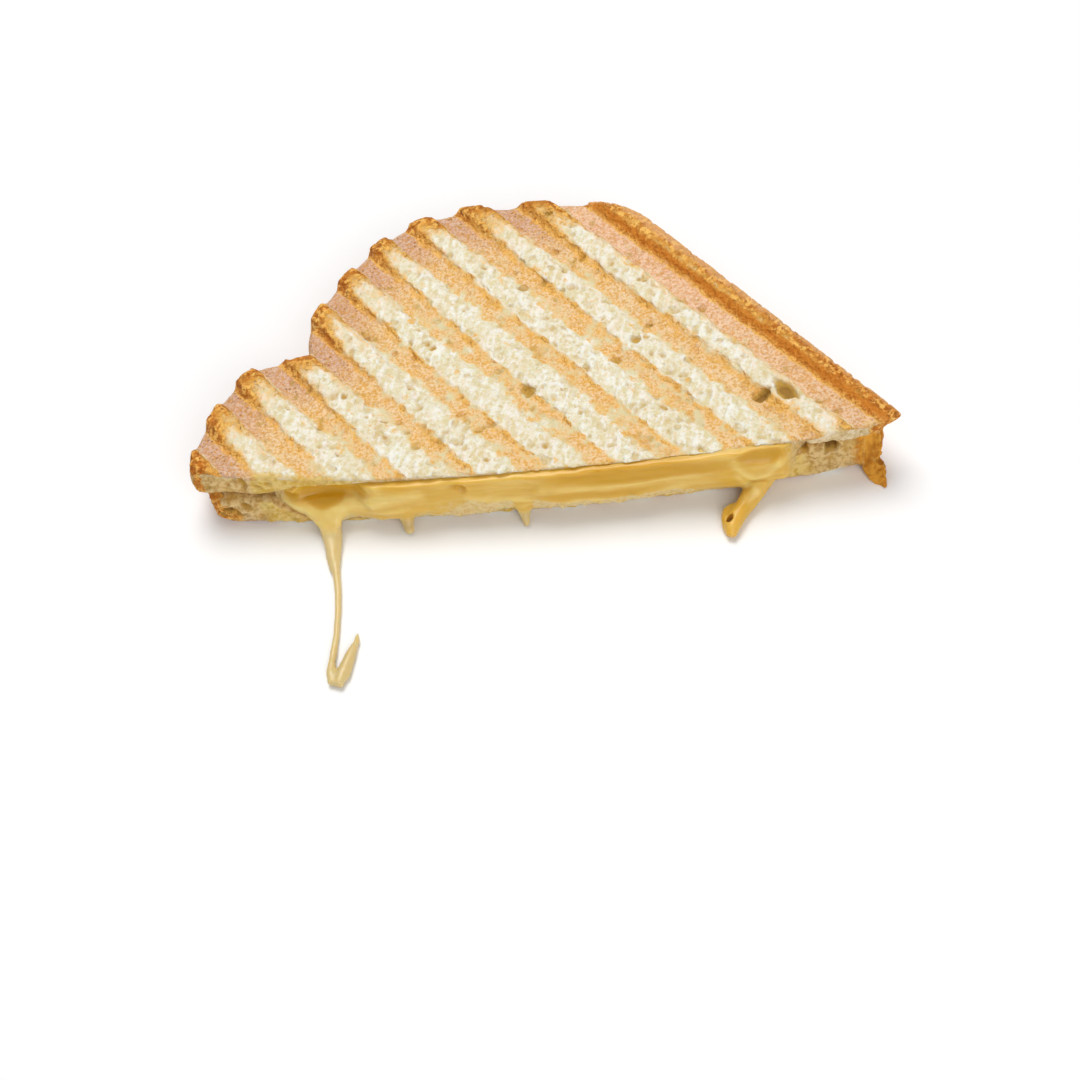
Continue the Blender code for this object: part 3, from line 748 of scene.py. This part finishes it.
def line_gap(places, line):
    """Shortest way in mm from each place to a line through several points."""
    near = np.full(len(places), np.inf)
    spots = places / MM
    for first, last in zip(line, line[1:]):
        start = np.array(first)
        run = np.array(last) - start
        share = np.clip((spots - start) @ run / (run @ run), 0, 1)
        near = np.minimum(near, np.hypot(*(spots - start - share[:, None] * run).T))
    return near


def cut_away(piece, tool):
    cut = piece.modifiers.new("cut", "BOOLEAN")
    cut.operation = "DIFFERENCE"
    cut.object = tool
    apply_modifiers(piece)
    bpy.data.objects.remove(tool)


def drip_hole():
    """A leaning post that cuts the hole in the end of the thick drip."""
    x, y, half_x, half_y = DRIP_HOLE
    bm = bmesh.new()
    turn = Matrix.Rotation(math.radians(-20), 4, "Z")
    lean = turn @ Matrix.Diagonal((half_x * MM, half_y * MM, 8 * MM, 1))
    bmesh.ops.create_cone(bm, cap_ends=True, segments=16, radius1=1, radius2=1, depth=1,
                          matrix=Matrix.Translation(at_cut(x, y, 2)) @ lean)
    mesh = bpy.data.meshes.new("drip_hole")
    bm.to_mesh(mesh)
    bm.free()
    return link("drip_hole", mesh)


filling = merged_copy("cheese", "melted_cheese")
bm = bmesh.new()
bm.from_mesh(filling.data)
for drops in (STRING_ROOT, STRING_LOOP, LEFT_SMALL_DRIP, MIDDLE_SMALL_DRIP, DRIP_HOOK):
    add_drops(bm, drops)
bm.to_mesh(filling.data)
bm.free()
fine_skin(filling, CHEESE_SKIN)
cut_away(filling, drip_hole())
inside = points_of(filling)[:, 1] > CUT_MIDDLE.y + 4 * MM
thin_out(filling, inside, 0.05)
soften(filling, 5)
# The string's root is pressed back level with the front of the cheese and smoothed into it
places = points_of(filling)
from_root = np.abs(places[:, 0] / MM - CUT_MIDDLE.x / MM + 54)
furthest_out = CUT_MIDDLE.y / MM - 3.4 - 5 * (1 - ease(places[:, 2] / MM, 3.5, 9.5))
pressed_back = np.maximum(furthest_out - places[:, 1] / MM, 0) * (1 - ease(from_root, 8, 12))
pressed_back *= ease(places[:, 2] / MM, 2.5, 5)
places[:, 1] += pressed_back * MM
move_to(filling, places)
soften(filling, 25, (from_root < 12) & (places[:, 1] > CUT_MIDDLE.y - 9 * MM))

places = points_of(filling)
outwards = normals_of(filling)
front = np.column_stack((places[:, 0] - CUT_MIDDLE.x, places[:, 2]))
along, height = front.T / MM
ahead = (CUT_MIDDLE.y - places[:, 1]) / MM
run_out = ease(ahead, 8.5, 12)
swollen = ease(-outwards[:, 1], 0.1, 0.6) * ease(ahead, -4, -1) * (1 - run_out)
near_front = ease(ahead, -6, -2) * (1 - run_out)
# Where the cheese touches the bread it clings to it
touching = ease(np.abs(outwards[:, 2]), 0.15, 0.6) * ease(ahead, -3, 0)
touching *= (1 - run_out) * ease(height, 5, 8)

wobble = lumps(places, 2.2 * MM, 50)
folds = lumps(places * (0.16, 0.5, 1.0), 1.7 * MM, 51, 2)
swells = lumps(places * (1.0, 0.6, 1.3), 8 * MM, 61, 2)
hollows = dig(front, CHEESE_HOLLOWS, 0.2 * wobble) * near_front
drawn_back = near_front * (6 * ease(along, 57, 63) + 2.6 * ease(-along, 60, 66))
raised = np.zeros(len(places))
for line, width, lift in CHEESE_FOLDS:
    raised = np.maximum(raised, lift * np.exp(-(line_gap(front, line) / width) ** 2))
raised *= swollen

# Crumb sticks to it along the lip of the lower slice and at both ends
under_lip = np.interp(along, LIP_PLACES, LIP_HEIGHTS) - height
crusted = swollen * ease(under_lip + 0.7 * wobble, -0.6, 0.8)
crusted = np.maximum(crusted, 0.5 * swollen * dig(front, [(-22, 7.2, 7, 3.6, 1)], wobble))
at_end = near_front * ease(along + 1.5 * wobble, 55, 62)
at_end = np.maximum(at_end, near_front * ease(-along + 1.5 * wobble, 61, 66))
from_small_drips = np.minimum(abs(along + 34), abs(along + 5.1))
crusted = np.maximum(crusted * ease(from_small_drips, 1.4, 3), at_end)

outside = (0.18 * folds + 0.4 * swells) * swollen + raised + 0.45 * crusted * fluffy(places, 55)
outside += 0.12 * run_out * wobble
shaped = places + outwards * (outside * MM)[:, None]
shaped[:, 1] += (hollows + drawn_back - 0.7 * touching) * MM
shaped[:, 2] += np.sign(outwards[:, 2]) * 0.9 * touching * MM
shaped[:, 2] = np.maximum(shaped[:, 2], OFF_GROUND)
move_to(filling, shaped)

rooted = np.exp(-((along + 53) / 7) ** 2) * ease(-height, -8.5, -6.5)
drawn_out = ease(ahead, 5, 9)
thick_drip = drawn_out * ease(along, 34, 38) * ease(-height, -6, -4)
note(filling, "pale", np.maximum(raised / 0.5, rooted) * (1 - thick_drip))
# Painted shade, deeper golden, in these places and on the thick drip
deep = 0.5 * dig(front, DEEP_PLACES, 0.4 * wobble) * near_front
note(filling, "deep", np.maximum(0.3 * thick_drip, deep))
note(filling, "crusted", crusted)
note(filling, "shaded", at_end)
run = np.maximum(run_out, 0.8 * drawn_out * ease(-height, -5, -2.5))
note(filling, "run", run * (1 - thick_drip))


def cheese_material():
    """Golden cheese streaked along the cut, with crumb stuck to its lower edge."""
    made, tree, shader = new_material("melted_cheese")
    place = put(tree, "ShaderNodeTexCoord").outputs["Object"]
    drawn = put(tree, "ShaderNodeMapping", Vector=place)
    drawn.inputs["Scale"].default_value = (0.12, 0.5, 1)
    strokes = speckle(tree, drawn.outputs["Vector"], 600, 3, 0.5)
    cloud = speckle(tree, place, 140, 2)
    grain = speckle(tree, place, 1000, 2)
    crusted = share_of(tree, "crusted")
    pale = plus(tree, ramp(tree, strokes, 0.45, 0.65, 0, 0.32), share_of(tree, "pale"))
    colour = blend(tree, maths(tree, "MINIMUM", pale, 1.0), GOLDEN_CHEESE, PALE_CHEESE)
    colour = blend(tree, ramp(tree, cloud, 0.45, 0.7, 0, 0.3), colour, DEEP_CHEESE)
    # Painted shade in the deep places
    colour = blend(tree, ramp(tree, share_of(tree, "deep"), 0.05, 0.8), colour, DEEP_CHEESE)
    colour = blend(tree, ramp(tree, share_of(tree, "run"), 0, 0.9, 0, 0.92), colour, CREAM_CHEESE)
    stuck = plus(tree, crusted, minus(tree, grain, 0.5))
    crumbs = blend(tree, ramp(tree, grain, 0.3, 0.55), LIP_SHADE, LIP_CRUMB)
    torn = blend(tree, ramp(tree, grain, 0.3, 0.6), TORN_SHADE, TORN_CRUMB)
    crumbs = blend(tree, share_of(tree, "shaded"), crumbs, torn)
    colour = blend(tree, ramp(tree, stuck, 0.2, 1.0, 0, 0.85), colour, crumbs)
    tree.links.new(colour, shader.inputs["Base Color"])
    tree.links.new(ramp(tree, crusted, 0, 0.6, 0.34, 0.8), shader.inputs["Roughness"])
    height = plus(tree, times(tree, strokes, 0.4), times(tree, grain, crusted))
    bump = put(tree, "ShaderNodeBump", Height=height, Strength=1.0, Distance=0.6 * MM)
    tree.links.new(bump.outputs["Normal"], shader.inputs["Normal"])
    shader.inputs["Subsurface Weight"].default_value = 0.5
    shader.inputs["Subsurface Radius"].default_value = (1.0, 0.6, 0.25)
    shader.inputs["Subsurface Scale"].default_value = 2.2 * MM
    return made


filling.data.materials.clear()
filling.data.materials.append(cheese_material())
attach(filling, "root")
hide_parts("cheese")

# The lower slice is cut from the same loaf, a little smaller, and lies under the cheese. Its
# grilled underside is what the sandwich rests on, and a sheet of its crust hangs torn at the end.
LOWER_SKIN = 0.44 * MM
# Its grilled face looks down
LOWER_SIDE = (-1, 2.5 * MM, 8 * MM)
CRUST_THICKNESS = 1.4 * MM
# Hollows in its cut side, by place along the cut and height
LOWER_CUT_HOLES = [(-78.2, 5.6, 2.4, 1.3, 2.8), (-76, 3.4, 1.9, 0.9, 2.0), (-73.6, 7.6, 1.6, 1.1, 2.2),
                   (-80.4, 3.2, 1.2, 0.9, 1.4), (-77.5, 9.8, 5.0, 1.3, 0.8), (69, 10.6, 1.9, 2.2, 4.2),
                   (62.2, 10.8, 1.4, 1.4, 3.0), (64, 7.4, 1.2, 0.8, 1.2),
                   (72.4, 8.4, 1.2, 0.8, 1.0), (61, 5.6, 1.0, 0.7, 0.8)]
# The torn crust from top to bottom: its left and right edges, in mm from the middle of the cut
TORN_CRUST = [((76.4, 1.6, 12.4), (80.2, 0.8, 12.2)), ((76.4, 0.8, 10.4), (80.8, -1.0, 10.2)),
              ((76.2, 0.6, 7.2), (81.3, -2.2, 7.0)), ((76.2, 0.4, 4.2), (81.6, -3.2, 4.0)),
              ((76.6, -1.6, 1.6), (81.9, -4.4, 1.6)), ((78.2, -4.4, 0.9), (81.9, -5.6, 0.8)),
              ((80.4, -5.6, 0.7), (81.5, -7.0, 0.6))]


def add_crust_sheet(bm, rows, thickness):
    """A grid laid over the rows and given its thickness."""
    across = 8
    steps = 4 * (len(rows) - 1)
    grid = bmesh.ops.create_grid(bm, x_segments=across, y_segments=steps, size=1)["verts"]
    for vert in grid:
        share, down = (vert.co.x + 1) / 2, (vert.co.y + 1) / 2 * (len(rows) - 1)
        row = min(int(down), len(rows) - 2)
        sides = [Vector(a).lerp(Vector(b), down - row) for a, b in zip(rows[row], rows[row + 1])]
        spot = sides[0].lerp(sides[1], share)
        spot.y += 0.5 * math.sin(share * 9 + down * 2)
        vert.co = at_cut(*spot)
    faces = list({face for vert in grid for face in vert.link_faces})
    bmesh.ops.solidify(bm, geom=faces, thickness=thickness)


lower = merged_copy("bread_bottom", "lower_slice")
bm = bmesh.new()
bm.from_mesh(lower.data)
add_crust_sheet(bm, TORN_CRUST, CRUST_THICKNESS)
bmesh.ops.recalc_face_normals(bm, faces=bm.faces[:])
bm.to_mesh(lower.data)
bm.free()
fine_skin(lower, LOWER_SKIN)
hide_inside(lower, *LOWER_SIDE)
soften(lower, 5)
# The edge of the cut is smoothed further, but not the thin crust that hangs from it
near_cut = Slice(lower, *LOWER_SIDE)
soften(lower, 12, (near_cut.from_cut < CUT_EDGE) & (near_cut.along_cut < 75.5 * MM))

under = Slice(lower, *LOWER_SIDE)
along = under.along_cut / MM
from_rim = under.from_rim / MM
wobble = lumps(under.points, WOBBLE_SIZE, 73)
pressed = pressed_share(under.marks[:, 0])
pebbles, pebble_size = bubbles(under.points, PEBBLE_SIZE, 71)
pebbled = ease(pebbles, 0.05, 0.7) * (0.5 + 0.5 * pebble_size)
pores = pores_of(under.points, 81)
fluff = fluffy(under.points, 91)
ahead = (CUT_MIDDLE.y - under.points[:, 1]) / MM
hanging = ease(along, 76, 77.5) * ease(ahead, -2, 0)
cut_side = under.cut_side * (1 - hanging)
cut_holes = dig(under.front, LOWER_CUT_HOLES, wobble) * under.at_front * (1 - hanging)

# Browned crust, band ends, and the burnt left-hand corner of the cut
in_section = cut_side * ease(-from_rim, -3.2, -1.2)
ends = under.face * (1 - ease(from_rim, 1, 9))
browned = 0.9 * cut_side * dig(under.front, [(-80.5, 4.0, 7.0, 5.5, 1)], wobble)
scorched = np.maximum.reduce([under.crust_side, ends, in_section, browned]) * (1 - 0.7 * hanging)

# The bands that it rests on stay level, apart from their pores
raised = ease(under.points[:, 2], 0.05 * MM, 0.6 * MM)
depth = under.crust_side * (0.15 - 0.5 * pebbled + 0.15 * wobble)
depth += cut_side * (0.5 * pores + 0.5 * fluff + 0.8 * lumps(under.points, 5 * MM, 95, 2))
depth += 0.25 * hanging * wobble
depth += under.face * (raised * 0.12 * fluff + (1 - pressed) * 0.3 * pores)
shaped = under.points - under.normals * depth[:, None] * MM
shaped[:, 1] += cut_holes * MM
shaped[:, 2] = np.maximum(shaped[:, 2], OFF_GROUND)
move_to(lower, shaped)

note(lower, "pressed", under.face * pressed * (1 - 0.35 * ease(from_rim, 5, 45)))
note(lower, "scorched", scorched)
note(lower, "pebbled", pebbled * (1 - hanging))
note(lower, "crust", under.crust_side)
note(lower, "pitted", np.maximum(cut_holes / 1.7, 0.5 * pores * (1 - 0.5 * scorched)))
note(lower, "torn", under.torn * (1 - hanging))
note(lower, "soaked", 0.6 * cut_side * ease(along, -74, -68) * ease(-along, -70, -60))
note(lower, "sheet", np.maximum(hanging, 0.8 * cut_side * ease(along + 1.2 * wobble, 72, 77)))
note(lower, "rimmed", 1 - ease(from_rim, 3, 30))
lower.data.materials.clear()
lower.data.materials.append(toast)
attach(lower, "root")
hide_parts("bread_bottom")

# The studio: a plain pale floor, two soft lights above and in front, and the camera, placed from the
# middle of the cut and turned by its own directions right, down and forward.
FLOOR_HALF = 3
bm = bmesh.new()
bmesh.ops.create_grid(bm, x_segments=1, y_segments=1, size=FLOOR_HALF)
floor_mesh = bpy.data.meshes.new("floor")
bm.to_mesh(floor_mesh)
bm.free()
floor = link("floor", floor_mesh)
floor_finish, tree, shader = new_material("pale_floor")
shader.inputs["Base Color"].default_value = (0.95, 0.95, 0.95, 1)
shader.inputs["Roughness"].default_value = 0.6
floor.data.materials.append(floor_finish)

camera = bpy.data.cameras.new("camera")
camera.lens = 57.6
camera.sensor_width = 36
camera.clip_start = 0.01
eye = bpy.data.objects.new("camera", camera)
bpy.context.scene.collection.objects.link(eye)
RIGHT = Vector((0.9917686, 0.00029382, -0.12804252))
DOWN = Vector((-0.07285459, -0.82105015, -0.56618801))
FORWARD = Vector((-0.10529569, 0.57085599, -0.81427038))
EYE = at_cut(42.04, -252.06, 339)
turn = Matrix((RIGHT, -DOWN, -FORWARD)).transposed()
eye.matrix_world = Matrix.Translation(EYE) @ turn.to_4x4()
bpy.context.scene.camera = eye


def soft_light(name, place, size, power):
    """A round light aimed at the sandwich."""
    lamp = bpy.data.lights.new(name, "AREA")
    lamp.shape = "DISK"
    lamp.size = size
    lamp.energy = power
    light = bpy.data.objects.new(name, lamp)
    bpy.context.scene.collection.objects.link(light)
    light.location = place
    light.rotation_euler = (-Vector(place)).to_track_quat("-Z", "Y").to_euler()


soft_light("key", (-0.13, 0.45, 1.1), size=0.8, power=9.9)
soft_light("front", (0.4, -0.9, 0.7), size=0.9, power=5.8)

world = bpy.data.worlds.new("world")
world.use_nodes = True
world.node_tree.nodes["Background"].inputs["Color"].default_value = (1, 1, 1, 1)
world.node_tree.nodes["Background"].inputs["Strength"].default_value = 0.31
bpy.context.scene.world = world
bpy.context.scene.view_settings.view_transform = "Standard"
